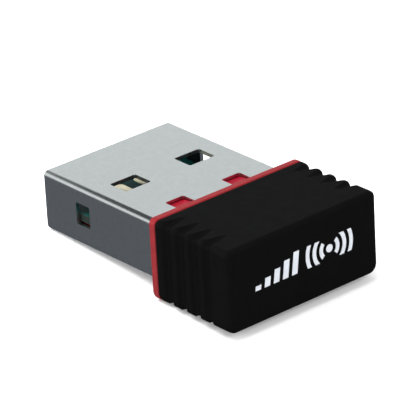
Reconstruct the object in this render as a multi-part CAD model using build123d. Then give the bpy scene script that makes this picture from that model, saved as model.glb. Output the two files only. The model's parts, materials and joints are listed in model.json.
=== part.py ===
from build123d import *
import os
from math import cos, pi, sin, tan

# Nano USB Wi-Fi adapter: a stamped steel plug shell, a thin collar, a ribbed end cap and,
# inside, a board carried by two moulded pieces.
# Millimetres. X is the width, +Y points out of the plug's mouth, +Z is up.
# The origin is the middle of the whole adapter's footprint, at its underside.

# ---- plug shell: a type A plug section, its height at the standard's upper limit ----
plug_width = 12.0
plug_height = 4.6
plug_reach = 12.9  # how far the shell stands out of the collar
plug_tail = 4.6  # how much of the shell is hidden behind the collar's front face
shell_wall = 0.3
shell_bend_radius = 0.4
shell_lip_radius = 0.12
grip_hole_width = 2.35  # square holes that the socket's springs drop into
grip_hole_length = 1.8
grip_hole_from_tip = 5.3
grip_hole_offset = 3.0  # from the middle plane to the hole's centre
latch_window_width = 1.7
latch_window_length = 1.75
latch_window_from_collar = 0.62
latch_window_offset = 2.62
side_window_length = 1.5
side_window_height = 1.7
side_window_from_tip = 3.6
side_window_lift = 0.15  # its centre above the plug's middle plane
stamped_corner_radius = 0.15
seam_gap = 0.06
seam_key_width = 1.1  # how far each dovetail key reaches across the seam
seam_key_length = 1.9
seam_key_flare = 0.3
seam_keys_from_tip = (2.2, 9.4)

# ---- collar and end cap ----
case_overhang = 0.96  # the case stands out past the plug by this much at each side
case_rise = 0.87  # and by this much above and below, before the plug is lifted
plug_lift = 0.1  # the plug's middle line above the case's
case_upper_radius = 0.45
case_lower_radius = 0.75
collar_thickness = 0.63
collar_front_edge = 0.14
collar_back_edge = 0.12
collar_clearance = 0.05
spigot_wall = 0.35
spigot_length = 1.2
spigot_clearance = 0.03
cap_depth = 7.53
cap_end_wall = 0.9
cap_clearance = 0.1  # between the shell's tail and the cap's cavity
cap_end_edge = 0.35
cap_front_edge = 0.15
rib_count = 4
rib_pitch = 1.42
rib_depth = 0.28
rib_first_notch = 1.13  # from the collar's back face to the first notch
rib_last_flank = 0.52  # the last notch climbs to the plain end block over this length
rib_land_lift = 0.005  # the cutters reach this far out past the crests
rib_bend_radius = 0.45  # the grooves turn from the sides onto the top along this arc
rib_runout_length = 2.0  # from the case's side to where a groove fades out on the top
rib_runout_angle = 10.5  # climb of the groove's floor over that length

# ---- board ----
mating_gap = 1.95  # free height over the contacts, for the socket's tongue
contact_thickness = 0.05
board_thickness = 0.6
board_side_clearance = 0.05
board_from_tip = 0.5
board_end_clearance = 0.3
board_notch_depth = 0.8
board_corner = 0.3
contact_width = 1.0
contact_offsets = {"ground": 3.5, "d_plus": 1.0, "d_minus": -1.0, "vbus": -3.5}
power_contact_length = 7.4
power_contact_from_tip = 1.1
data_contact_length = 6.4
data_contact_from_tip = 1.9

# ---- moulded carrier pieces ----
tray_from_tip = 0.35
tray_side_gap = 0.3
tray_floor_clearance = 0.02
tray_pocket_rail = 0.9
tray_pocket_front = 0.6  # the pocket starts this far behind the collar's front face
tray_tail_extra = 0.3
latch_block_length = 2.7
latch_block_from_collar = 0.45
latch_block_clearance = 0.02
latch_height = 0.26
latch_low = 0.04
latch_clearance = 0.08
leg_length = 1.6
leg_clearance = 0.05
leg_depth = 0.5

# ---- parts on the board ----
land_thickness = 0.05
land_width = 0.22
land_length = 0.4
land_pitch = 0.42
lands_per_side = 8
land_toe = 0.06
chip_size = 4.0
chip_height = 0.8
chip_pad_size = 2.4
crystal_length = 2.0
crystal_width = 1.6
crystal_base_height = 0.4
crystal_lid_height = 0.3
crystal_lid_inset = 0.12
regulator_length = 2.0
regulator_width = 1.25
regulator_height = 0.9
regulator_standoff = 0.1
lead_width = 0.25
lead_thickness = 0.13
lead_pitch = 0.65
lead_reach = 0.2
lead_foot = 0.22
small_length = 1.0  # 0402 size resistors and capacitors
small_width = 0.5
resistor_height = 0.35
capacitor_height = 0.5
small_terminal = 0.2
small_count = 3
inductor_size = (2.0, 1.6, 0.9)
inductor_terminal = 0.35
bulk_size = (2.0, 1.25, 0.95)
bulk_terminal = 0.3
filter_size = (2.0, 1.25, 0.8)
filter_terminal = 0.3
bead_size = (1.6, 0.8, 0.7)
bead_terminal = 0.25
part_gap = 0.3
under_column = 1.9  # from the middle plane to the parts under the board
antenna_share = 0.45  # of the board length that the other parts leave free
antenna_trace_share = 0.3
antenna_turns = 6
antenna_turn_pitch = 1.3
antenna_edge_gap = 0.2
copper_thickness = 0.04
test_pad_diameter = 0.8
test_pad_pitch = 1.3
test_pad_count = 4
solder_leg = 0.45
solder_length = 1.8
solder_from_collar = 1.6

# ---- printed mark on the end face: signal bars beside a radiating dot ----
ink_thickness = 0.02
mark_height = 1.7
mark_middle_lift = 0.3  # above the case's middle plane
bar_count = 5
bar_width = 0.5
bar_pitch = 0.84
bar_lowest = 0.35
bars_start = -4.5
bar_slant = 0.14
dot_radius = 0.3
dot_x = 2.4
arc_width = 0.33
arc_pitch = 0.64
arc_count = 3
arc_half_angle = 42.0

# ---- worked out from the values above ----
case_width = plug_width + 2 * case_overhang
case_height = plug_height + 2 * case_rise
body_length = plug_reach + collar_thickness + cap_depth
tip = (body_length + ink_thickness) / 2
collar_front = tip - plug_reach
collar_back = collar_front - collar_thickness
cap_end = collar_back - cap_depth
shell_end = collar_front - plug_tail
case_middle = case_height / 2
middle = case_middle + plug_lift

inner_width = plug_width - 2 * shell_wall
inner_height = plug_height - 2 * shell_wall
inner_top = middle + inner_height / 2
inner_bottom = middle - inner_height / 2

contact_top = inner_top - mating_gap
board_top = contact_top - contact_thickness
board_bottom = board_top - board_thickness
board_width = inner_width - 2 * board_side_clearance
board_front = tip - board_from_tip
board_end = cap_end + cap_end_wall + board_end_clearance

block_back = collar_front + latch_block_from_collar
block_front = block_back + latch_block_length
leg_middle = (block_back + block_front) / 2


def block(x_low, x_high, y_low, y_high, z_low, z_high):
    """Box between two corners."""
    centre = ((x_low + x_high) / 2, (y_low + y_high) / 2, (z_low + z_high) / 2)
    return Pos(*centre) * Box(x_high - x_low, y_high - y_low, z_high - z_low)


def rounded_bar(width, height, radius, y_low, y_high):
    """Bar along Y around the plug's middle line, with rounded long edges."""
    section = Plane.XZ * Pos(0, middle) * RectangleRounded(width, height, radius)
    return Pos(0, y_high, 0) * extrude(section, y_high - y_low)


def case_bar(y_low, y_high):
    """Bar along Y with the case's section: its lower long edges are the rounder ones."""
    section = Pos(0, case_middle) * Rectangle(case_width, case_height)
    corners = section.vertices().sort_by(Axis.Y)
    section = fillet(corners[:2], case_lower_radius)
    corners = section.vertices().sort_by(Axis.Y)
    section = fillet(corners[-2:], case_upper_radius)
    return Pos(0, y_high, 0) * extrude(Plane.XZ * section, y_high - y_low)


def stamped_hole(x, y, width, length, z_low, z_high):
    """Cutter for a hole punched through a flat wall from above."""
    outline = Pos(x, y, z_low) * RectangleRounded(width, length, stamped_corner_radius)
    return extrude(outline, z_high - z_low)


# ---- plug shell ----
def seam_cutter():
    """Thin slot along the underside, stepping around each dovetail key."""
    points = [(0, tip + 1)]
    for from_tip in seam_keys_from_tip:
        front = tip - from_tip
        back = front - seam_key_length
        points += [(0, front), (seam_key_width, front + seam_key_flare)]
        points += [(seam_key_width, back - seam_key_flare), (0, back)]
    points.append((0, shell_end - 1))
    slot = trace(Polyline(*points), seam_gap)
    return extrude(Pos(0, 0, inner_bottom - 2 * shell_wall) * slot, 3 * shell_wall)


def make_plug_shell():
    """Folded steel tube with its grip holes, latch windows, side windows and seam."""
    outside = rounded_bar(plug_width, plug_height, shell_bend_radius, shell_end, tip)
    lip = outside.faces().sort_by(Axis.Y)[-1].edges()
    outside = fillet(lip, shell_lip_radius)
    inside_radius = shell_bend_radius - shell_wall
    inside = rounded_bar(inner_width, inner_height, inside_radius, shell_end - 1, tip + 1)
    shell = outside - inside
    grip_y = tip - grip_hole_from_tip - grip_hole_length / 2
    window_y = collar_front + latch_window_from_collar + latch_window_length / 2
    side_y = tip - side_window_from_tip - side_window_length / 2
    for side in (-1, 1):
        x = side * grip_hole_offset
        shell -= stamped_hole(x, grip_y, grip_hole_width, grip_hole_length, -1, case_height + 1)
        x = side * latch_window_offset
        size = (latch_window_width, latch_window_length)
        shell -= stamped_hole(x, window_y, *size, middle, case_height + 1)
    window = Plane.YZ * Pos(side_y, middle + side_window_lift) * RectangleRounded(
        side_window_length, side_window_height, stamped_corner_radius
    )
    shell -= extrude(window, plug_width, both=True)
    return shell - seam_cutter()


# ---- collar ----
def make_collar():
    """Thin coloured ring round the shell, with a spigot that the end cap takes."""
    ring = case_bar(collar_back, collar_front)
    front_edges = ring.faces().sort_by(Axis.Y)[-1].edges()
    ring = fillet(front_edges, collar_front_edge)
    back_edges = ring.faces().sort_by(Axis.Y)[0].edges()
    ring = fillet(back_edges, collar_back_edge)
    opening = 2 * collar_clearance
    grow = opening + 2 * spigot_wall
    spigot_back = collar_back - spigot_length
    spigot = rounded_bar(
        plug_width + grow,
        plug_height + grow,
        shell_bend_radius + collar_clearance + spigot_wall,
        spigot_back,
        (collar_back + collar_front) / 2,
    )
    hole = rounded_bar(
        plug_width + opening,
        plug_height + opening,
        shell_bend_radius + collar_clearance,
        spigot_back - 1,
        collar_front + 1,
    )
    return ring + spigot - hole


# ---- end cap ----
def flank(peak_y, notch_y, side_x):
    """Outline of one rib flank: round over the rib's crest, then round into the notch."""
    crest = (side_x - rib_land_lift, peak_y)
    notch = (side_x + rib_depth, notch_y)
    halfway = ((crest[0] + notch[0]) / 2, (peak_y + notch_y) / 2)
    towards_notch = (0, notch_y - peak_y)
    towards_crest = (0, peak_y - notch_y)
    over = TangentArc(crest, halfway, tangent=towards_notch)
    into = TangentArc(notch, halfway, tangent=towards_crest)
    return [over, into]


def groove_cutter(notch_y, rear_half):
    """Cutter for one groove: up the side from its middle, round the corner, then fading out."""
    side_x = -case_width / 2
    outside_x = side_x - rib_depth
    front_y = notch_y + rib_pitch / 2
    rear_y = notch_y - rear_half
    edges = [
        *flank(front_y, notch_y, side_x),
        *flank(rear_y, notch_y, side_x),
        Line((side_x - rib_land_lift, front_y), (outside_x, front_y)),
        Line((outside_x, front_y), (outside_x, rear_y)),
        Line((outside_x, rear_y), (side_x - rib_land_lift, rear_y)),
    ]
    section = Pos(0, 0, case_middle) * make_face(edges)
    climb = rib_runout_angle * pi / 180
    run = rib_runout_length - rib_bend_radius
    arc_z = case_height - (rib_bend_radius - rib_depth + run * sin(climb)) / cos(climb)
    up = Line((side_x, case_middle), (side_x, arc_z))
    centre = (side_x + rib_bend_radius, arc_z)
    bend = CenterArc(centre, rib_bend_radius, 180, rib_runout_angle - 90)
    bend_end = bend @ 1
    fade = Line(bend_end, (bend_end.X + run, bend_end.Y + run * tan(climb)))
    path = Plane.XZ.offset(-notch_y) * Wire([up, bend, fade])
    return sweep(section, path)


def make_end_cap():
    """Moulded cap with finger ribs down both sides and a rebate for the collar's spigot."""
    body = case_bar(cap_end, collar_back)
    end_edges = body.faces().sort_by(Axis.Y)[0].edges()
    body = fillet(end_edges, cap_end_edge)
    front_edges = body.faces().sort_by(Axis.Y)[-1].edges()
    body = fillet(front_edges, cap_front_edge)
    for index in range(rib_count):
        notch_y = collar_back - rib_first_notch - index * rib_pitch
        last = index == rib_count - 1
        cutter = groove_cutter(notch_y, rib_last_flank if last else rib_pitch / 2)
        for plane in (Plane.XY.offset(case_middle), Plane.YZ) * 2:
            body -= cutter
            cutter = mirror(cutter, plane)
    cavity = rounded_bar(
        plug_width + 2 * cap_clearance,
        plug_height + 2 * cap_clearance,
        shell_bend_radius + cap_clearance,
        cap_end + cap_end_wall,
        collar_back + 1,
    )
    grow = 2 * (collar_clearance + spigot_wall + spigot_clearance)
    rebate = rounded_bar(
        plug_width + grow,
        plug_height + grow,
        shell_bend_radius + grow / 2,
        collar_back - spigot_length - spigot_clearance,
        collar_back + 1,
    )
    return body - cavity - rebate


# ---- board and its moulded carrier ----
def make_circuit_board():
    """Glass fibre board, notched at each side for the latch block's legs."""
    outline = Rectangle(board_width, board_front - board_end)
    outline = chamfer(outline.vertices(), board_corner)
    centre_y = (board_front + board_end) / 2
    board = extrude(Pos(0, centre_y, board_bottom) * outline, board_thickness)
    notch_half = leg_length / 2 + leg_clearance
    for side in (-1, 1):
        inner_x = side * (board_width / 2 - board_notch_depth)
        outer_x = side * (board_width / 2 + 1)
        low, high = sorted((inner_x, outer_x))
        board -= block(low, high, leg_middle - notch_half, leg_middle + notch_half, 0, case_height)
    return board


def make_board_tray():
    """Lower moulding: fills the shell under the board, with a pocket for the parts below it."""
    half = inner_width / 2 - tray_side_gap
    back = shell_end - tray_tail_extra
    low = inner_bottom + tray_floor_clearance
    tray = block(-half, half, back, tip - tray_from_tip, low, board_bottom)
    tray = fillet(tray.faces().sort_by(Axis.Y)[-1].edges().filter_by(Axis.X), shell_lip_radius)
    pocket_half = half - tray_pocket_rail
    pocket_front = collar_front - tray_pocket_front
    tray -= block(-pocket_half, pocket_half, back - 1, pocket_front, 0, case_height)
    for side in (-1, 1):
        inner_x = side * (board_width / 2 - board_notch_depth)
        outer_x = side * (half + 1)
        x_low, x_high = sorted((inner_x, outer_x))
        reach = leg_length / 2 + leg_clearance
        floor = board_bottom - leg_depth - leg_clearance
        tray -= block(x_low, x_high, leg_middle - reach, leg_middle + reach, floor, case_height)
    return tray


def latch(side):
    """Wedge that climbs towards the rear and drops into the shell's latch window."""
    half = latch_window_width / 2 - latch_clearance
    low = collar_front + latch_window_from_collar + latch_clearance
    high = low + latch_window_length - 2 * latch_clearance
    seat = inner_top - latch_block_clearance - shell_wall
    outline = Polyline(
        (low, seat),
        (high, seat),
        (high, inner_top + latch_low),
        (low, inner_top + latch_height),
        close=True,
    )
    wedge = extrude(Plane.YZ * make_face(outline), half, both=True)
    return Pos(side * latch_window_offset, 0, 0) * wedge


def make_latch_block():
    """Upper moulding: closes the back of the plug's mouth and locks the shell."""
    half = inner_width / 2 - tray_side_gap / 2
    ceiling = inner_top - latch_block_clearance
    body = block(-half, half, block_back, block_front, board_top, ceiling)
    for side in (-1, 1):
        body += latch(side)
        inner_x = side * (board_width / 2 - board_notch_depth + leg_clearance)
        outer_x = side * (inner_width / 2 - tray_side_gap)
        low, high = sorted((inner_x, outer_x))
        reach = leg_length / 2
        foot = board_bottom - leg_depth
        body += block(low, high, leg_middle - reach, leg_middle + reach, foot, ceiling)
    return body


def make_contact(name):
    """One gold plated contact strip: the power pair is longer and mates first."""
    power = name in ("ground", "vbus")
    from_tip = power_contact_from_tip if power else data_contact_from_tip
    length = power_contact_length if power else data_contact_length
    x = contact_offsets[name]
    half = contact_width / 2
    high = tip - from_tip
    return block(x - half, x + half, high - length, high, board_top, contact_top)


# ---- parts soldered to the board ----
parts_length = antenna_edge_gap + 3 * part_gap + small_width + chip_size
antenna_depth = antenna_share * (block_back - board_end - parts_length)
antenna_trace = antenna_trace_share * antenna_depth
chip_front = board_end + antenna_edge_gap + antenna_depth + part_gap + small_width + part_gap
chip_middle = (-(part_gap + regulator_length) / 2, chip_front + chip_size / 2)
column_x = chip_middle[0] + chip_size / 2 + part_gap + regulator_length / 2
row_y = board_end + antenna_edge_gap + antenna_depth + part_gap + small_width / 2


def two_ended(x, y, size, terminal, under=False):
    """Ceramic or ferrite block lying along X with a metal terminal at each end."""
    length, width, height = size
    z_low = board_bottom - height if under else board_top
    z_high = z_low + height
    y_low, y_high = y - width / 2, y + width / 2
    inner = length / 2 - terminal
    body = block(x - inner, x + inner, y_low, y_high, z_low, z_high)
    ends = []
    for side in (-1, 1):
        low, high = sorted((x + side * inner, x + side * length / 2))
        ends.append(block(low, high, y_low, y_high, z_low, z_high))
    return body, ends


def make_wifi_chip():
    """Radio chip's moulded body, standing on its lands."""
    x, y = chip_middle
    half = chip_size / 2
    low = board_top + land_thickness
    return block(x - half, x + half, y - half, y + half, low, low + chip_height)


def make_wifi_chip_lands():
    """Lands round the radio chip's edge, with the heat pad in the middle."""
    x, y = chip_middle
    middle_z = board_top + land_thickness / 2
    lands = [Pos(x, y, middle_z) * Box(chip_pad_size, chip_pad_size, land_thickness)]
    out = chip_size / 2 + land_toe - land_length / 2
    for quarter in range(4):
        for index in range(lands_per_side):
            along = (index - (lands_per_side - 1) / 2) * land_pitch
            land = Pos(out, along, 0) * Box(land_length, land_width, land_thickness)
            lands.append(Pos(x, y, middle_z) * Rot(0, 0, 90 * quarter) * land)
    return lands


def make_crystal():
    """Clock crystal: a ceramic base and a seamed metal lid."""
    y = chip_middle[1] + chip_size / 2 - crystal_width / 2
    half_x, half_y = crystal_length / 2, crystal_width / 2
    seat = board_top + crystal_base_height
    base = block(column_x - half_x, column_x + half_x, y - half_y, y + half_y, board_top, seat)
    half_x -= crystal_lid_inset
    half_y -= crystal_lid_inset
    top = seat + crystal_lid_height
    lid = block(column_x - half_x, column_x + half_x, y - half_y, y + half_y, seat, top)
    return base, lid


def lead(x, y, facing):
    """Gull wing lead from the regulator's side down to the board."""
    top = board_top + regulator_standoff + regulator_height / 2
    out = facing * lead_reach
    foot = facing * (lead_reach + lead_foot)
    thick = facing * lead_thickness
    outline = Polyline(
        (y, top),
        (y + out, top),
        (y + out, board_top + lead_thickness),
        (y + foot, board_top + lead_thickness),
        (y + foot, board_top),
        (y + out - thick, board_top),
        (y + out - thick, top - lead_thickness),
        (y, top - lead_thickness),
        close=True,
    )
    return Pos(x, 0, 0) * extrude(Plane.YZ * make_face(outline), lead_width / 2, both=True)


def make_regulator():
    """Five lead voltage regulator: body and leads."""
    y = chip_front + lead_reach + lead_foot + regulator_width / 2
    half_x, half_y = regulator_length / 2, regulator_width / 2
    low = board_top + regulator_standoff
    high = low + regulator_height
    body = block(column_x - half_x, column_x + half_x, y - half_y, y + half_y, low, high)
    leads = [lead(column_x + step * lead_pitch, y - half_y, -1) for step in (-1, 0, 1)]
    leads += [lead(column_x + step * lead_pitch, y + half_y, 1) for step in (-1, 1)]
    return body, leads


def make_small_row(height, start_x):
    """Row of 0402 parts between the radio chip and the antenna."""
    bodies, terminals = [], []
    for index in range(small_count):
        x = start_x + index * (small_length + part_gap)
        body, ends = two_ended(x, row_y, (small_length, small_width, height), small_terminal)
        bodies.append(body)
        terminals += ends
    return bodies, terminals


def make_antenna_track():
    """Printed antenna: a meander of copper along the board's rear edge."""
    low = board_end + antenna_edge_gap + antenna_trace / 2
    high = low + antenna_depth - antenna_trace
    start = -antenna_turns * antenna_turn_pitch / 2
    points = []
    for turn in range(antenna_turns):
        x = start + turn * antenna_turn_pitch
        points += [(x, low), (x, high)]
        points += [(x + antenna_turn_pitch / 2, high), (x + antenna_turn_pitch / 2, low)]
    track = trace(Polyline(*points), antenna_trace)
    return extrude(Pos(0, 0, board_top) * track, copper_thickness)


def make_test_pads():
    """Round probe pads on the board's underside."""
    y = board_end + antenna_edge_gap + antenna_depth / 2
    pads = []
    for index in range(test_pad_count):
        x = (index - (test_pad_count - 1) / 2) * test_pad_pitch
        pad = Cylinder(test_pad_diameter / 2, copper_thickness)
        pads.append(Pos(x, y, board_bottom - copper_thickness / 2) * pad)
    return pads


def make_ground_solder():
    """Solder fillets that join the shell's sides to the board's ground pads."""
    high = collar_front - solder_from_collar
    wall_x = inner_width / 2
    outline = Polyline(
        (wall_x, board_top),
        (wall_x, board_top + solder_leg),
        (wall_x - solder_leg, board_top),
        close=True,
    )
    joint = Pos(0, high, 0) * extrude(Plane.XZ * make_face(outline), solder_length)
    return [joint, mirror(joint, Plane.YZ)]


# ---- printed mark ----
def print_on_end(face):
    """Give a flat shape the ink's thickness on the cap's end face."""
    placed = Pos(0, cap_end, case_middle + mark_middle_lift) * (Plane.XZ * face)
    return extrude(placed, ink_thickness)


def make_printed_mark():
    """Rising signal bars, and a dot with waves spreading to both sides."""
    foot = -mark_height / 2
    shapes = []
    for index in range(bar_count):
        share = index / (bar_count - 1)
        height = bar_lowest + share * (mark_height - bar_lowest)
        x = bars_start + index * bar_pitch
        lean = bar_slant * height
        bar = Polyline(
            (x, foot),
            (x + bar_width, foot),
            (x + bar_width + lean, foot + height),
            (x + lean, foot + height),
            close=True,
        )
        shapes.append(make_face(bar))
    shapes.append(Pos(dot_x, 0) * Circle(dot_radius))
    reach = dot_radius + (arc_count + 1) * arc_pitch
    half_open = reach * tan(arc_half_angle * pi / 180)
    for side in (-1, 1):
        wedge = Polyline((0, 0), (side * reach, half_open), (side * reach, -half_open), close=True)
        window = make_face(wedge) & Rectangle(2 * reach, mark_height)
        for ring in range(1, arc_count + 1):
            radius = dot_radius + ring * arc_pitch
            band = Circle(radius) - Circle(radius - arc_width)
            shapes.append(Pos(dot_x, 0) * (band & window))
    return [print_on_end(shape) for shape in shapes]


def under_board_parts():
    """Parts in the tray's pocket, in two rows across the board's underside."""
    x = under_column
    front_y = chip_middle[1] + part_gap
    rear_y = chip_middle[1] - part_gap - max(inductor_size[1], bead_size[1])
    return {
        "inductor": two_ended(-x, front_y, inductor_size, inductor_terminal, under=True),
        "bulk_capacitor": two_ended(x, front_y, bulk_size, bulk_terminal, under=True),
        "rf_filter": two_ended(-x, rear_y, filter_size, filter_terminal, under=True),
        "ferrite_bead": two_ended(x, rear_y, bead_size, bead_terminal, under=True),
    }


def make_all():
    """Every piece of the adapter by name."""
    pieces = {
        "plug_shell": make_plug_shell(),
        "collar": make_collar(),
        "end_cap": make_end_cap(),
        "circuit_board": make_circuit_board(),
        "board_tray": make_board_tray(),
        "latch_block": make_latch_block(),
        "wifi_chip": make_wifi_chip(),
        "wifi_chip_lands": make_wifi_chip_lands(),
        "antenna_track": make_antenna_track(),
        "test_pads": make_test_pads(),
        "ground_solder": make_ground_solder(),
        "printed_mark": make_printed_mark(),
    }
    for name in contact_offsets:
        pieces[f"contact_{name}"] = make_contact(name)
    pieces["crystal_base"], pieces["crystal_lid"] = make_crystal()
    pieces["regulator_body"], pieces["regulator_leads"] = make_regulator()
    row_step = small_count * (small_length + part_gap)
    row_start = -row_step + (small_length + part_gap) / 2
    bodies, terminals = make_small_row(capacitor_height, row_start)
    pieces["capacitor_bodies"], pieces["capacitor_terminals"] = bodies, terminals
    bodies, terminals = make_small_row(resistor_height, row_start + row_step)
    pieces["resistor_bodies"], pieces["resistor_terminals"] = bodies, terminals
    for name, (body, ends) in under_board_parts().items():
        pieces[f"{name}_body"] = body
        pieces[f"{name}_terminals"] = ends
    return pieces


def main():
    """Write one STEP file for each piece."""
    os.makedirs("parts", exist_ok=True)
    for name, shape in make_all().items():
        whole = Compound(children=shape) if isinstance(shape, list) else shape
        export_step(whole, f"parts/{name}.step")


main()
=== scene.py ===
"""Nano USB Wi-Fi adapter: finishes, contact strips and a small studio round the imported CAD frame."""

import json
import logging
from dataclasses import dataclass, field
from enum import Enum
from math import atan, cos, radians, sin

import bmesh
import bpy
from mathutils import Matrix, Vector


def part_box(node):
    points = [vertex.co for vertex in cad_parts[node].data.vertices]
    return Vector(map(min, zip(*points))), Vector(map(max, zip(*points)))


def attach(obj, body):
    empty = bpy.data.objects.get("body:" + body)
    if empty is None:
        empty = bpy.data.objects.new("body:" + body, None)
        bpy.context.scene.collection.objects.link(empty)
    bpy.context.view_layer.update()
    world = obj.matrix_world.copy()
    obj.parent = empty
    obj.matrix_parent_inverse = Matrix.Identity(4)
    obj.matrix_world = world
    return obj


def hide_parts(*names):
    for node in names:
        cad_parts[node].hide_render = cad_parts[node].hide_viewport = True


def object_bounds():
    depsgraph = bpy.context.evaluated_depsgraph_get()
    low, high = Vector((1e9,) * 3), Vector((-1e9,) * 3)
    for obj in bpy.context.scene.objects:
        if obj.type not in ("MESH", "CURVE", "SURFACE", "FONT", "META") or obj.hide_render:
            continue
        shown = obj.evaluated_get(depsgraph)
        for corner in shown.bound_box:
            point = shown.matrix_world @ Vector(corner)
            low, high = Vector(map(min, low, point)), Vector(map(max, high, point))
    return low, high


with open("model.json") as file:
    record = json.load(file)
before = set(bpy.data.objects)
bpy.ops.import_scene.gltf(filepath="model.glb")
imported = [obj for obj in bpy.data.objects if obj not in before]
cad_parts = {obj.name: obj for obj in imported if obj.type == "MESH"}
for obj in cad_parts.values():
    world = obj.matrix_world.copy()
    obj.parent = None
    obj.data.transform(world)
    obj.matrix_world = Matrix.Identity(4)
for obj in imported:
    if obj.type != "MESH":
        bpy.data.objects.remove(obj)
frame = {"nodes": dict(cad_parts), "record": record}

log = logging.getLogger("usb_wifi_adapter")
CAD_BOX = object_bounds()
MM = 0.001
NOISE_LOW = 0.3
NOISE_HIGH = 0.7
NOISE_DETAIL_FALL = 0.55
SAME_POINT = 1e-6
SMOOTH_ANGLE = radians(40)

Colour = tuple[float, float, float, float]
Socket = bpy.types.NodeSocket


class Grain(Enum):
    """Which way a surface's marks are drawn out."""

    EVEN = (1.0, 1.0, 1.0)
    ALONG = (6.0, 1.0, 6.0)


def linear(code: str) -> Colour:
    """Turn an sRGB hex code into a linear colour.

    Args:
        code: Six hex digits.

    Returns:
        Red, green, blue and an alpha of 1.
    """
    shares = [int(code[at : at + 2], 16) / 255 for at in (0, 2, 4)]
    values = [s / 12.92 if s <= 0.04045 else ((s + 0.055) / 1.055) ** 2.4 for s in shares]
    return (values[0], values[1], values[2], 1.0)


def add_node(
    tree: bpy.types.NodeTree, kind: str, settings: dict, links: dict | None = None
) -> bpy.types.Node:
    """Add one node with its settings and its incoming links.

    Args:
        tree: The node tree to add to.
        kind: The node's type name.
        settings: Values by input name or number, or by property name.
        links: Output sockets by input name or number.

    Returns:
        The new node.
    """
    node = tree.nodes.new(kind)
    for key, value in settings.items():
        if isinstance(key, int) or key in node.inputs:
            node.inputs[key].default_value = value
        else:
            setattr(node, key, value)
    for key, source in (links or {}).items():
        tree.links.new(source, node.inputs[key])
    return node


# ---- finishes ----
@dataclass(frozen=True)
class Finish:
    """A surface: two close shades in soft patches, a fine relief and a roughness that wanders.

    The patches keep a surface from reading as flat paint, the relief breaks up its highlights.
    """

    name: str
    shade: str
    second_shade: str
    roughness: tuple[float, float]
    patch_mm: float = 1.5
    cloud_share: float = field(default=0.6, kw_only=True)  # the roughness's clouds, against the patches
    relief_mm: float = 0.12
    relief_height_mm: float = 0.002
    relief_strength: float = 0.5
    grain: Grain = Grain.EVEN
    metallic: float = 0.0
    specular: float = 0.5
    coat: float = 0.0

    def place(self, tree: bpy.types.NodeTree) -> Socket:
        """Give the surface's own coordinates, drawn out along its grain.

        Args:
            tree: The material's node tree.

        Returns:
            A vector socket in metres.
        """
        coordinates = add_node(tree, "ShaderNodeTexCoord", {})
        settings = {"Scale": self.grain.value}
        links = {"Vector": coordinates.outputs["Object"]}
        return add_node(tree, "ShaderNodeMapping", settings, links).outputs["Vector"]

    def noise(self, tree: bpy.types.NodeTree, place: Socket, size_mm: float, detail: float = 3.0) -> Socket:
        """Add a noise whose cells have a real size.

        Args:
            tree: The material's node tree.
            place: Coordinates in metres.
            size_mm: The cells' size.
            detail: How many finer layers lie on it.

        Returns:
            The noise's value socket.
        """
        settings = {"Scale": 1 / (size_mm * MM), "Detail": detail, "Roughness": NOISE_DETAIL_FALL}
        return add_node(tree, "ShaderNodeTexNoise", settings, {"Vector": place}).outputs["Fac"]

    def ramp(
        self, tree: bpy.types.NodeTree, value: Socket, low: float, high: float, ends: tuple[float, float]
    ) -> Socket:
        """Stretch part of a value's range onto another range.

        Args:
            tree: The material's node tree.
            value: The incoming value.
            low: Where the range starts.
            high: Where the range ends.
            ends: What the two ends become.

        Returns:
            The new value's socket.
        """
        settings = {"From Min": low, "From Max": high, "To Min": ends[0], "To Max": ends[1]}
        return add_node(tree, "ShaderNodeMapRange", settings, {"Value": value}).outputs["Result"]

    def mix(
        self, tree: bpy.types.NodeTree, share: Socket, first: Socket | Colour, second: Socket | Colour
    ) -> Socket:
        """Blend two colours.

        Args:
            tree: The material's node tree.
            share: How much of the second colour shows.
            first: A colour or a colour socket.
            second: A colour or a colour socket.

        Returns:
            The blended colour's socket.
        """
        settings: dict = {"data_type": "RGBA"}
        links = {0: share}
        for slot, colour in ((6, first), (7, second)):
            if isinstance(colour, Socket):
                links[slot] = colour
            else:
                settings[slot] = colour
        return add_node(tree, "ShaderNodeMix", settings, links).outputs[2]

    def colour(self, tree: bpy.types.NodeTree, place: Socket) -> Socket:
        """Blend the two shades in soft patches.

        Args:
            tree: The material's node tree.
            place: Coordinates in metres.

        Returns:
            The colour's socket.
        """
        cells = self.noise(tree, place, self.patch_mm)
        patches = self.ramp(tree, cells, NOISE_LOW, NOISE_HIGH, (0.0, 1.0))
        return self.mix(tree, patches, linear(self.shade), linear(self.second_shade))

    def height(self, tree: bpy.types.NodeTree, place: Socket) -> Socket:
        """Give the fine relief's height.

        Args:
            tree: The material's node tree.
            place: Coordinates in metres.

        Returns:
            The height's socket.
        """
        return self.noise(tree, place, self.relief_mm, 2.0)

    def make(self) -> bpy.types.Material:
        """Build the material.

        Returns:
            The finished material.
        """
        material = bpy.data.materials.new(self.name)
        material.use_nodes = True
        tree = material.node_tree
        shader = tree.nodes["Principled BSDF"]
        place = self.place(tree)
        clouds = self.noise(tree, place, self.patch_mm * self.cloud_share)
        wander = self.ramp(tree, clouds, NOISE_LOW, NOISE_HIGH, self.roughness)
        settings = {"Strength": self.relief_strength, "Distance": self.relief_height_mm * MM}
        bump = add_node(tree, "ShaderNodeBump", settings, {"Height": self.height(tree, place)})
        tree.links.new(self.colour(tree, place), shader.inputs["Base Color"])
        tree.links.new(wander, shader.inputs["Roughness"])
        tree.links.new(bump.outputs["Normal"], shader.inputs["Normal"])
        shader.inputs["Metallic"].default_value = self.metallic
        shader.inputs["Coat Weight"].default_value = self.coat
        if not self.metallic:
            shader.inputs["Specular IOR Level"].default_value = self.specular
        return material


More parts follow.
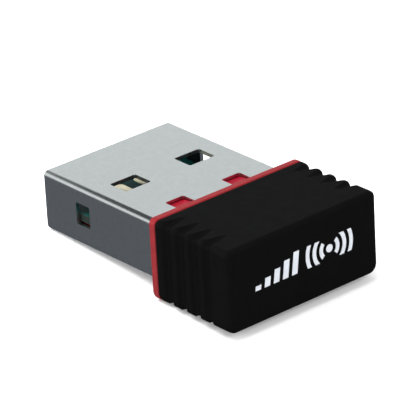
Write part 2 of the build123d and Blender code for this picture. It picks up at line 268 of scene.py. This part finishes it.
@dataclass(frozen=True)
class RolledSteel(Finish):
    """Nickel plated sheet: faint rolling lines along the plug, a soft, cloudy satin and painted shade on
    the tube's inside.
    """

    # Real rolling lines are finer: these are as coarse as they have to be to show.
    line_mm: float = 0.05
    line_share: float = 0.35
    line_spread: tuple[float, float] = (0.35, 0.65)
    line_draw: float = 0.04  # the pattern's scale along the plug against across it
    # Painted shade: a dark grey laid over the tube's inner faces, standing in for the shade inside it.
    painted_inside_shade: str = "3C3F42"
    painted_shade_depth_mm: float = 0.29  # just short of the sheet's thickness

    def colour(self, tree: bpy.types.NodeTree, place: Socket) -> Socket:
        """Cloud the plating, draw the rolling lines faintly through it and paint shade over the tube's
        inside.

        Args:
            tree: The material's node tree.
            place: Coordinates in metres.

        Returns:
            The colour's socket.
        """
        clouds = Finish.colour(self, tree, place)
        lines = self.noise(tree, self.drawn_out(tree), self.line_mm, 1.0)
        share = self.ramp(tree, lines, *self.line_spread, (0.0, self.line_share))
        outside = self.mix(tree, share, clouds, linear(self.second_shade))
        # Painted shade: the inner faces are mixed to the dark grey.
        return self.mix(tree, self.inside(tree), outside, linear(self.painted_inside_shade))

    def inside(self, tree: bpy.types.NodeTree) -> Socket:
        """Tell the tube's inside, where the painted shade goes, from its outer faces.

        Args:
            tree: The material's node tree.

        Returns:
            A socket that is 1 inside the tube and 0 on its outer faces.
        """
        low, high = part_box("plug_shell")
        depth = self.painted_shade_depth_mm * MM
        centre = (0.0, 0.0, (low.z + high.z) / 2)
        coordinates = add_node(tree, "ShaderNodeTexCoord", {})
        settings = {"operation": "SUBTRACT", 1: centre}
        shifted = add_node(tree, "ShaderNodeVectorMath", settings, {0: coordinates.outputs["Object"]})
        links = {0: shifted.outputs[0]}
        apart = add_node(tree, "ShaderNodeVectorMath", {"operation": "ABSOLUTE"}, links)
        sides = add_node(tree, "ShaderNodeSeparateXYZ", {}, {0: apart.outputs[0]})
        limits = {"X": high.x - depth, "Z": (high.z - low.z) / 2 - depth}
        within = [
            add_node(tree, "ShaderNodeMath", {"operation": "LESS_THAN", 1: limit}, {0: sides.outputs[axis]})
            for axis, limit in limits.items()
        ]
        links = {0: within[0].outputs[0], 1: within[1].outputs[0]}
        return add_node(tree, "ShaderNodeMath", {"operation": "MULTIPLY"}, links).outputs[0]

    def drawn_out(self, tree: bpy.types.NodeTree) -> Socket:
        """Give coordinates stretched along the plug, the way the sheet was rolled.

        Args:
            tree: The material's node tree.

        Returns:
            A vector socket in metres.
        """
        coordinates = add_node(tree, "ShaderNodeTexCoord", {})
        links = {"Vector": coordinates.outputs["Object"]}
        settings = {"Scale": (1.0, self.line_draw, 1.0)}
        return add_node(tree, "ShaderNodeMapping", settings, links).outputs["Vector"]

    def height(self, tree: bpy.types.NodeTree, place: Socket) -> Socket:
        """Lay the rolling lines over the plating's orange peel.

        Args:
            tree: The material's node tree.
            place: Coordinates in metres.

        Returns:
            The height's socket.
        """
        peel = self.noise(tree, place, self.relief_mm, 2.0)
        lines = self.noise(tree, self.drawn_out(tree), self.line_mm, 1.0)
        return add_node(tree, "ShaderNodeMath", {"operation": "ADD"}, {0: peel, 1: lines}).outputs[0]


@dataclass(frozen=True)
class SparkErodedPlastic(Finish):
    """Moulded plastic that copied a spark eroded mould: tiny pits in place of a gloss.

    Real pits are finer: these are as coarse as they have to be to show.
    """

    def height(self, tree: bpy.types.NodeTree, place: Socket) -> Socket:
        """Give pits as small cells, which scatter the highlights."""
        settings = {"Scale": 1 / (self.relief_mm * MM), "feature": "SMOOTH_F1"}
        return add_node(tree, "ShaderNodeTexVoronoi", settings, {"Vector": place}).outputs["Distance"]


@dataclass(frozen=True)
class MaskedLaminate(Finish):
    """Circuit board: solder mask on its flat faces, raw glass fibre on its sawn edges."""

    edge_shade: str = "2C3430"
    ply_shade: str = "222926"
    ply_mm: float = 0.1
    band_share: float = 0.3  # sets one band of the wave pattern to about one ply
    flat_from: float = 0.4  # faces tilted further than this from level show the edge
    flat_to: float = 0.6

    def colour(self, tree: bpy.types.NodeTree, place: Socket) -> Socket:
        """Show the mask where the face looks up or down, and the laminate's plies elsewhere.

        Args:
            tree: The material's node tree.
            place: Coordinates in metres.

        Returns:
            The colour's socket.
        """
        mask = Finish.colour(self, tree, place)
        coordinates = add_node(tree, "ShaderNodeTexCoord", {})
        split = add_node(tree, "ShaderNodeSeparateXYZ", {}, {"Vector": coordinates.outputs["Normal"]})
        facing = add_node(tree, "ShaderNodeMath", {"operation": "ABSOLUTE"}, {0: split.outputs["Z"]})
        scale = self.band_share / (self.ply_mm * MM)
        settings = {"wave_type": "BANDS", "bands_direction": "Z", "Scale": scale}
        plies = add_node(tree, "ShaderNodeTexWave", settings, {"Vector": coordinates.outputs["Object"]})
        edge = self.mix(tree, plies.outputs["Fac"], linear(self.edge_shade), linear(self.ply_shade))
        flat = self.ramp(tree, facing.outputs[0], self.flat_from, self.flat_to, (0.0, 1.0))
        return self.mix(tree, flat, edge, mask)


@dataclass(frozen=True)
class GoldPlating(Finish):
    """Gold flash on the contacts, with wiping marks left by the socket's springs."""

    wipe_mm: float = 0.06
    wipe_draw: float = 0.05  # the pattern's scale along the contact against across it

    def height(self, tree: bpy.types.NodeTree, place: Socket) -> Socket:
        """Draw the wiping marks along the contact.

        Args:
            tree: The material's node tree.
            place: Not used.

        Returns:
            The height's socket.
        """
        coordinates = add_node(tree, "ShaderNodeTexCoord", {})
        links = {"Vector": coordinates.outputs["Object"]}
        drawn = add_node(tree, "ShaderNodeMapping", {"Scale": (1.0, self.wipe_draw, 1.0)}, links)
        return self.noise(tree, drawn.outputs["Vector"], self.wipe_mm, 2.0)


@dataclass(frozen=True)
class PadPrint(Finish):
    """Pad printed ink: slightly uneven cover, with the plastic's texture showing through."""

    pinhole_mm: float = 0.09
    pinhole_spread: tuple[float, float] = (0.62, 0.75)
    pinhole_share: float = 0.35
    thin_shade: str = "8C9095"

    def colour(self, tree: bpy.types.NodeTree, place: Socket) -> Socket:
        """Thin the ink in tiny spots.

        Args:
            tree: The material's node tree.
            place: Coordinates in metres.

        Returns:
            The colour's socket.
        """
        ink = Finish.colour(self, tree, place)
        cells = self.noise(tree, place, self.pinhole_mm, 1.0)
        spots = self.ramp(tree, cells, *self.pinhole_spread, (0.0, self.pinhole_share))
        return self.mix(tree, spots, ink, linear(self.thin_shade))


# Plated strip with a rolled satin: it mirrors the room as soft bands, not as an image.
STEEL = RolledSteel(
    name="rolled_nickel_plated_steel",
    shade="DADEDE",
    second_shade="D4D9D9",
    roughness=(0.27, 0.31),
    patch_mm=0.5,
    relief_mm=0.2,
    relief_height_mm=0.0008,
    relief_strength=0.3,
    metallic=1.0,
)

# ABS from a spark eroded mould: nearly black, with hardly any sheen.
CAP_PLASTIC = SparkErodedPlastic(
    name="spark_eroded_black_abs",
    shade="0A0A0A",
    second_shade="0B0B0B",
    roughness=(0.55, 0.62),
    patch_mm=1.2,
    relief_mm=0.09,
    relief_height_mm=0.003,
    relief_strength=0.4,
    specular=0.02,
)

# Moulded ABS: a muted red with a low satin sheen.
COLLAR_PLASTIC = Finish(
    name="moulded_red_abs",
    shade="7E1A20",
    second_shade="74181D",
    roughness=(0.42, 0.5),
    patch_mm=0.9,
    relief_mm=0.1,
    relief_height_mm=0.002,
    relief_strength=0.4,
    specular=0.25,
)

# Moulded PBT: a deeper red, smoother than the collar.
CARRIER_PLASTIC = Finish(
    name="glossy_red_pbt",
    shade="8E001E",
    second_shade="780014",
    roughness=(0.2, 0.3),
    patch_mm=0.7,
    relief_mm=0.12,
    relief_height_mm=0.003,
    relief_strength=0.6,
    specular=0.06,
)

# Solder mask over glass fibre: dark teal faces and duller sawn edges.
BOARD_LAMINATE = MaskedLaminate(
    name="solder_masked_laminate",
    shade="0C5E5A",
    second_shade="0A5250",
    roughness=(0.3, 0.42),
    patch_mm=0.8,
    relief_mm=0.15,
    relief_height_mm=0.003,
    relief_strength=0.5,
    specular=0.04,
)

# Thin gold over copper: pale and soft, marked along its length.
GOLD = GoldPlating(
    name="gold_plated_copper",
    shade="FFF8DC",
    second_shade="FBF0CC",
    roughness=(0.34, 0.44),
    patch_mm=0.6,
    relief_mm=0.1,
    relief_height_mm=0.002,
    relief_strength=0.5,
    metallic=1.0,
)

# Copper under the mask: a lighter green than the board round it.
MASKED_COPPER = Finish(
    name="copper_under_mask",
    shade="2E6B3F",
    second_shade="275F38",
    roughness=(0.3, 0.42),
    patch_mm=0.6,
    relief_mm=0.1,
    relief_height_mm=0.002,
    relief_strength=0.5,
)

# Reflowed solder: bright and lumpy.
SOLDER = Finish(
    name="reflowed_solder",
    shade="C9CCCE",
    second_shade="B4B8BB",
    roughness=(0.25, 0.45),
    patch_mm=0.4,
    relief_mm=0.12,
    relief_height_mm=0.006,
    relief_strength=0.7,
    metallic=1.0,
)

# Moulded epoxy: charcoal, finely pitted and dull.
CHIP_EPOXY = SparkErodedPlastic(
    name="moulded_epoxy",
    shade="17171A",
    second_shade="202024",
    roughness=(0.5, 0.65),
    patch_mm=0.8,
    relief_mm=0.07,
    relief_height_mm=0.004,
    relief_strength=0.6,
    specular=0.3,
)

# Sintered ceramic: tan, grainy and half matt.
TAN_CERAMIC = Finish(
    name="sintered_tan_ceramic",
    shade="A98D69",
    second_shade="9A7F5E",
    roughness=(0.35, 0.5),
    patch_mm=0.25,
    relief_mm=0.05,
    relief_height_mm=0.003,
    relief_strength=0.5,
)

# Fired ceramic: off white and half matt.
WHITE_CERAMIC = Finish(
    name="fired_white_ceramic",
    shade="D9D6CC",
    second_shade="CBC8BD",
    roughness=(0.4, 0.55),
    patch_mm=0.3,
    relief_mm=0.06,
    relief_height_mm=0.003,
    relief_strength=0.5,
)

# Glass glaze: nearly black and glossy.
RESISTOR_GLAZE = Finish(
    name="glass_glaze",
    shade="16181C",
    second_shade="1E2126",
    roughness=(0.15, 0.25),
    patch_mm=0.3,
    relief_mm=0.08,
    relief_height_mm=0.002,
    relief_strength=0.4,
    coat=0.4,
)

# Sintered ferrite: a matt brown grey.
FERRITE = Finish(
    name="sintered_ferrite",
    shade="35322F",
    second_shade="2A2826",
    roughness=(0.45, 0.6),
    patch_mm=0.3,
    relief_mm=0.05,
    relief_height_mm=0.004,
    relief_strength=0.6,
)

# Tinned ends: pale, slightly cloudy metal.
TINNED = Finish(
    name="tinned_terminal",
    shade="CFCFCB",
    second_shade="BDBDB9",
    roughness=(0.3, 0.45),
    patch_mm=0.2,
    relief_mm=0.06,
    relief_height_mm=0.003,
    relief_strength=0.5,
    metallic=1.0,
)

# Plated lid, brushed one way: its highlight is drawn out along the lid.
LID_METAL = Finish(
    name="plated_lid",
    shade="D6D2C4",
    second_shade="C9C4B4",
    roughness=(0.2, 0.3),
    patch_mm=0.5,
    relief_mm=0.08,
    relief_height_mm=0.002,
    relief_strength=0.4,
    grain=Grain.ALONG,
    metallic=1.0,
)

# Pad printed ink: off white, thin in tiny spots.
WHITE_INK = PadPrint(
    name="pad_printed_white_ink",
    shade="C2C6CC",
    second_shade="B9BDC4",
    roughness=(0.5, 0.62),
    patch_mm=0.6,
    relief_mm=0.08,
    relief_height_mm=0.002,
    relief_strength=0.4,
    specular=0.3,
)

SLOT_FINISHES: dict[str, Finish] = {
    "plated_steel": STEEL,
    "red_collar": COLLAR_PLASTIC,
    "red_carrier": CARRIER_PLASTIC,
    "black_cap": CAP_PLASTIC,
    "board": BOARD_LAMINATE,
    "gold": GOLD,
    "copper_track": MASKED_COPPER,
    "solder": SOLDER,
    "chip_epoxy": CHIP_EPOXY,
    "ceramic": TAN_CERAMIC,
    "resistor_glaze": RESISTOR_GLAZE,
    "ferrite": FERRITE,
    "filter_ceramic": WHITE_CERAMIC,
    "tin_terminal": TINNED,
    "crystal_metal": LID_METAL,
    "white_ink": WHITE_INK,
}


class Finishes:
    """Keeps one material for each of the record's slots."""

    bevel_segments: int = 2
    sharp_angle: float = radians(50)

    def __init__(self) -> None:
        """Read which slot each CAD node takes its finish from."""
        self.slots = {part["node"]: part["material_slot"] for part in frame["record"]["subparts"]}
        self.made: dict[str, bpy.types.Material] = {}

    def of_slot(self, slot: str) -> bpy.types.Material:
        """Give a slot's material, made once.

        Args:
            slot: The record's slot name.

        Returns:
            The slot's material.
        """
        if slot not in self.made:
            self.made[slot] = SLOT_FINISHES[slot].make()
        return self.made[slot]

    def dress(self, node: str, edge_mm: float = 0.0) -> None:
        """Give a CAD node its finish and, where asked, slightly broken edges.

        Args:
            node: The CAD node's name.
            edge_mm: How wide its sharp edges are broken.
        """
        piece = frame["nodes"][node]
        piece.data.materials.clear()
        piece.data.materials.append(self.of_slot(self.slots[node]))
        if edge_mm:
            weld = piece.modifiers.new("joined_faces", "WELD")
            weld.merge_threshold = SAME_POINT
            bevel = piece.modifiers.new("broken_edges", "BEVEL")
            bevel.width = edge_mm * MM
            bevel.segments = self.bevel_segments
            bevel.limit_method = "ANGLE"
            bevel.angle_limit = self.sharp_angle
        log.info("dressed %s", node)


# ---- sub-assemblies ----
@dataclass
class PlugShell:
    """The folded steel plug."""

    finishes: Finishes
    edge_mm: float = 0.03

    def build(self) -> None:
        """Break the punched edges, which then catch a thin line of light."""
        self.finishes.dress("plug_shell", self.edge_mm)


@dataclass
class Case:
    """The collar, the end cap and the mark printed on it."""

    finishes: Finishes

    def build(self) -> None:
        """Dress the three pieces."""
        self.finishes.dress("collar")
        self.finishes.dress("end_cap")
        self.finishes.dress("printed_mark")


@dataclass
class Carrier:
    """The two red mouldings that hold the board and lock the shell."""

    finishes: Finishes
    edge_mm: float = 0.05

    def build(self) -> None:
        """Dress both mouldings with softened edges."""
        self.finishes.dress("latch_block", self.edge_mm)
        self.finishes.dress("board_tray", self.edge_mm)


@dataclass
class ContactStrips:
    """Four gold plated strips on the board's tongue, with rounded noses and soft edges."""

    finishes: Finishes
    nodes: tuple[str, ...] = ("contact_ground", "contact_d_plus", "contact_d_minus", "contact_vbus")
    nose_share: float = 0.42
    nose_segments: int = 8
    edge_mm: float = 0.015
    edge_segments: int = 3

    def strip(self, node: str) -> bpy.types.Object:
        """Build one strip inside its CAD node's box.

        Args:
            node: The CAD node that the strip stands for.

        Returns:
            The strip's object.
        """
        low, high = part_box(node)
        size = high - low
        shape = bmesh.new()
        bmesh.ops.create_cube(shape, size=1.0)
        bmesh.ops.scale(shape, vec=size, verts=shape.verts)
        bmesh.ops.translate(shape, vec=(low + high) / 2, verts=shape.verts)
        nose = [e for e in shape.edges if self.stands_at_nose(e, high.y)]
        bevel = {"affect": "EDGES", "profile": 0.5, "material": -1, "clamp_overlap": True}
        round_by = size.x * self.nose_share
        bmesh.ops.bevel(shape, geom=nose, offset=round_by, segments=self.nose_segments, **bevel)
        rim = [e for e in shape.edges if all(v.co.z > (low.z + high.z) / 2 for v in e.verts)]
        soften_by = self.edge_mm * MM
        bmesh.ops.bevel(shape, geom=rim, offset=soften_by, segments=self.edge_segments, **bevel)
        bmesh.ops.recalc_face_normals(shape, faces=shape.faces)
        return new_piece(f"{node}_strip", shape)

    def stands_at_nose(self, edge: bmesh.types.BMEdge, front: float) -> bool:
        """Tell whether an edge is one of the two upright ones at the strip's front.

        Args:
            edge: One edge of the strip.
            front: Where the strip's front face lies.

        Returns:
            True for an upright edge at the front.
        """
        first, second = (v.co for v in edge.verts)
        return abs(first.z - second.z) > SAME_POINT and min(first.y, second.y) > front - SAME_POINT

    def build(self) -> None:
        """Build the strips in place of the plain CAD ones."""
        for node in self.nodes:
            self.finishes.dress(node)
            piece = self.strip(node)
            piece.data.materials.append(self.finishes.of_slot("gold"))
            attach(piece, "root")
            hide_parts(node)
            log.info("built %s", piece.name)


@dataclass
class Board:
    """The circuit board with its copper, solder and every part on it."""

    finishes: Finishes
    nodes: tuple[str, ...] = (
        "circuit_board",
        "wifi_chip",
        "wifi_chip_lands",
        "antenna_track",
        "test_pads",
        "ground_solder",
        "crystal_base",
        "crystal_lid",
        "regulator_body",
        "regulator_leads",
        "capacitor_bodies",
        "capacitor_terminals",
        "resistor_bodies",
        "resistor_terminals",
        "inductor_body",
        "inductor_terminals",
        "bulk_capacitor_body",
        "bulk_capacitor_terminals",
        "rf_filter_body",
        "rf_filter_terminals",
        "ferrite_bead_body",
        "ferrite_bead_terminals",
    )

    def build(self) -> None:
        """Dress the board and its parts."""
        for node in self.nodes:
            self.finishes.dress(node)


def new_piece(name: str, shape: bmesh.types.BMesh) -> bpy.types.Object:
    """Turn a finished shape into a smooth shaded object at the origin.

    Args:
        name: The object's name.
        shape: The shape, which is freed.

    Returns:
        The new object.
    """
    mesh = bpy.data.meshes.new(name)
    shape.to_mesh(mesh)
    shape.free()
    mesh.shade_smooth()
    mesh.set_sharp_from_angle(angle=SMOOTH_ANGLE)
    piece = bpy.data.objects.new(name, mesh)
    bpy.context.scene.collection.objects.link(piece)
    return piece


# ---- studio ----
@dataclass(frozen=True)
class Softbox:
    """A rectangular lamp aimed at the adapter's middle."""

    name: str
    azimuth: float
    elevation: float
    width_m: float
    watts: float
    distance_m: float = 0.6

    def build(self, target: Vector) -> None:
        """Place the lamp and aim it.

        Args:
            target: The point it faces.
        """
        lamp = bpy.data.lights.new(self.name, "AREA")
        lamp.shape = "SQUARE"
        lamp.size = self.width_m
        lamp.energy = self.watts
        holder = bpy.data.objects.new(self.name, lamp)
        bpy.context.scene.collection.objects.link(holder)
        turn, rise = radians(self.azimuth), radians(self.elevation)
        out = Vector((sin(turn) * cos(rise), -cos(turn) * cos(rise), sin(rise)))
        holder.location = target + out * self.distance_m
        holder.rotation_mode = "QUATERNION"
        holder.rotation_quaternion = out.to_track_quat("Z", "Y")
        holder.visible_camera = False
        holder.visible_glossy = False


@dataclass
class Studio:
    """Camera, pale floor, soft lamps and the surroundings that the steel reflects."""

    azimuth: float = -39.538
    elevation: float = 25.062
    roll: float = -3.135
    lens_mm: float = 328.23
    sensor_mm: float = 36.0
    standpoint_mm: tuple[float, float, float] = (-148.933, -177.739, 110.718)
    floor_shade: str = "F8F8F8"
    floor_size_m: float = 3.0
    floor_gap_mm: float = 0.02
    floor_glow: float = 0.1
    room_fill: float = 0.6
    # What the steel mirrors, from straight down at 0, through level at 0.5, to straight up at 1.
    horizon: tuple[tuple[float, str], ...] = (
        (0.0, "5E6167"),
        (0.46, "5E6167"),
        (0.505, "FFFFFF"),
        (0.57, "FFFFFF"),
        (0.61, "F4F7F7"),
        (0.76, "F4F7F7"),
        (0.80, "44464A"),
        (1.0, "44464A"),
    )
    lamps: tuple[Softbox, ...] = (
        Softbox("overhead", azimuth=-120.0, elevation=70.0, width_m=0.5, watts=5.0),
        Softbox("back_left", azimuth=-126.0, elevation=18.0, width_m=0.3, watts=2.2),
        Softbox("front_fill", azimuth=-10.0, elevation=35.0, width_m=0.3, watts=1.7),
    )

    def camera(self) -> None:
        """Stand the camera, placed from the middle of the collar's front face."""
        turn, rise, tip = radians(self.azimuth), radians(self.elevation), radians(self.roll)
        back = Vector((sin(turn) * cos(rise), -cos(turn) * cos(rise), sin(rise)))
        right = Vector((cos(turn), sin(turn), 0.0))
        rolled = Matrix.Rotation(tip, 3, back) @ right
        up = back.cross(rolled)
        low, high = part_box("collar")
        anchor = Vector((0.0, high.y, (low.z + high.z) / 2))
        data = bpy.data.cameras.new("camera")
        data.sensor_width = self.sensor_mm
        data.lens = self.lens_mm
        data.clip_start = 0.01
        data.clip_end = 10.0
        holder = bpy.data.objects.new("camera", data)
        bpy.context.scene.collection.objects.link(holder)
        matrix = Matrix((rolled, up, back)).transposed().to_4x4()
        matrix.translation = anchor + Vector(self.standpoint_mm) * MM
        holder.matrix_world = matrix
        bpy.context.scene.camera = holder

    def floor(self) -> None:
        """Lay the floor where the adapter really rests: on its plug's tip and the collar's edge."""
        shell_low, shell_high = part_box("plug_shell")
        collar_low, collar_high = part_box("collar")
        rise = shell_low.z - collar_low.z
        slope = atan(rise / (shell_high.y - collar_high.y))
        shape = bmesh.new()
        bmesh.ops.create_grid(shape, x_segments=1, y_segments=1, size=self.floor_size_m / 2)
        bmesh.ops.rotate(shape, verts=shape.verts, cent=(0, 0, 0), matrix=Matrix.Rotation(slope, 3, "X"))
        rest = Vector((0.0, collar_high.y, collar_low.z - self.floor_gap_mm * MM))
        bmesh.ops.translate(shape, vec=rest, verts=shape.verts)
        piece = new_piece("floor", shape)
        piece.data.materials.append(self.floor_material())
        piece.visible_glossy = False

    def floor_material(self) -> bpy.types.Material:
        """Make the pale floor, which can be seen through from below.

        Returns:
            The floor's material.
        """
        material = bpy.data.materials.new("pale_floor")
        material.use_nodes = True
        tree = material.node_tree
        tree.nodes.remove(tree.nodes["Principled BSDF"])
        diffuse = add_node(tree, "ShaderNodeBsdfDiffuse", {"Color": linear(self.floor_shade)})
        glow = add_node(tree, "ShaderNodeEmission", {"Strength": self.floor_glow})
        lit = add_node(tree, "ShaderNodeAddShader", {}, {0: diffuse.outputs[0], 1: glow.outputs[0]})
        clear = add_node(tree, "ShaderNodeBsdfTransparent", {})
        side = add_node(tree, "ShaderNodeNewGeometry", {})
        links = {0: side.outputs["Backfacing"], 1: lit.outputs[0], 2: clear.outputs[0]}
        blend = add_node(tree, "ShaderNodeMixShader", {}, links)
        tree.links.new(blend.outputs[0], tree.nodes["Material Output"].inputs["Surface"])
        return material

    def surroundings(self) -> None:
        """Make the room: white to look at, a soft fill, and a bright band low round the horizon.

        The steel mirrors the band on its top and darkness on its bend and sides.
        """
        world = bpy.data.worlds.new("studio_room")
        bpy.context.scene.world = world
        world.use_nodes = True
        tree = world.node_tree
        output = tree.nodes["Background"].inputs["Color"]
        toward = add_node(tree, "ShaderNodeTexCoord", {}).outputs["Generated"]
        split = add_node(tree, "ShaderNodeSeparateXYZ", {}, {"Vector": toward})
        settings = {"From Min": -1.0, "From Max": 1.0}
        rise = add_node(tree, "ShaderNodeMapRange", settings, {"Value": split.outputs["Z"]})
        ramp = add_node(tree, "ShaderNodeValToRGB", {}, {"Fac": rise.outputs["Result"]})
        stops = ramp.color_ramp.elements
        for position, _ in self.horizon[2:]:
            stops.new(position)
        for stop, (position, shade) in zip(stops, self.horizon):
            stop.position = position
            stop.color = linear(shade)
        path = add_node(tree, "ShaderNodeLightPath", {})
        settings = {"data_type": "RGBA", 6: (self.room_fill,) * 3 + (1,)}
        links = {0: path.outputs["Is Glossy Ray"], 7: ramp.outputs["Color"]}
        fill = add_node(tree, "ShaderNodeMix", settings, links)
        settings = {"data_type": "RGBA", 7: (1, 1, 1, 1)}
        links = {0: path.outputs["Is Camera Ray"], 6: fill.outputs[2]}
        seen = add_node(tree, "ShaderNodeMix", settings, links)
        tree.links.new(seen.outputs[2], output)

    def build(self) -> None:
        """Set up the camera first, then the room round the adapter."""
        self.camera()
        self.floor()
        self.surroundings()
        low, high = CAD_BOX
        for lamp in self.lamps:
            lamp.build((low + high) / 2)
        bpy.context.scene.view_settings.view_transform = "Standard"
        log.info("studio ready")


def main() -> None:
    """Build the studio and every sub-assembly in order."""
    logging.basicConfig(level=logging.INFO)
    Studio().build()
    finishes = Finishes()
    PlugShell(finishes).build()
    Case(finishes).build()
    Carrier(finishes).build()
    Board(finishes).build()
    ContactStrips(finishes).build()


if __name__ == "__main__":
    main()
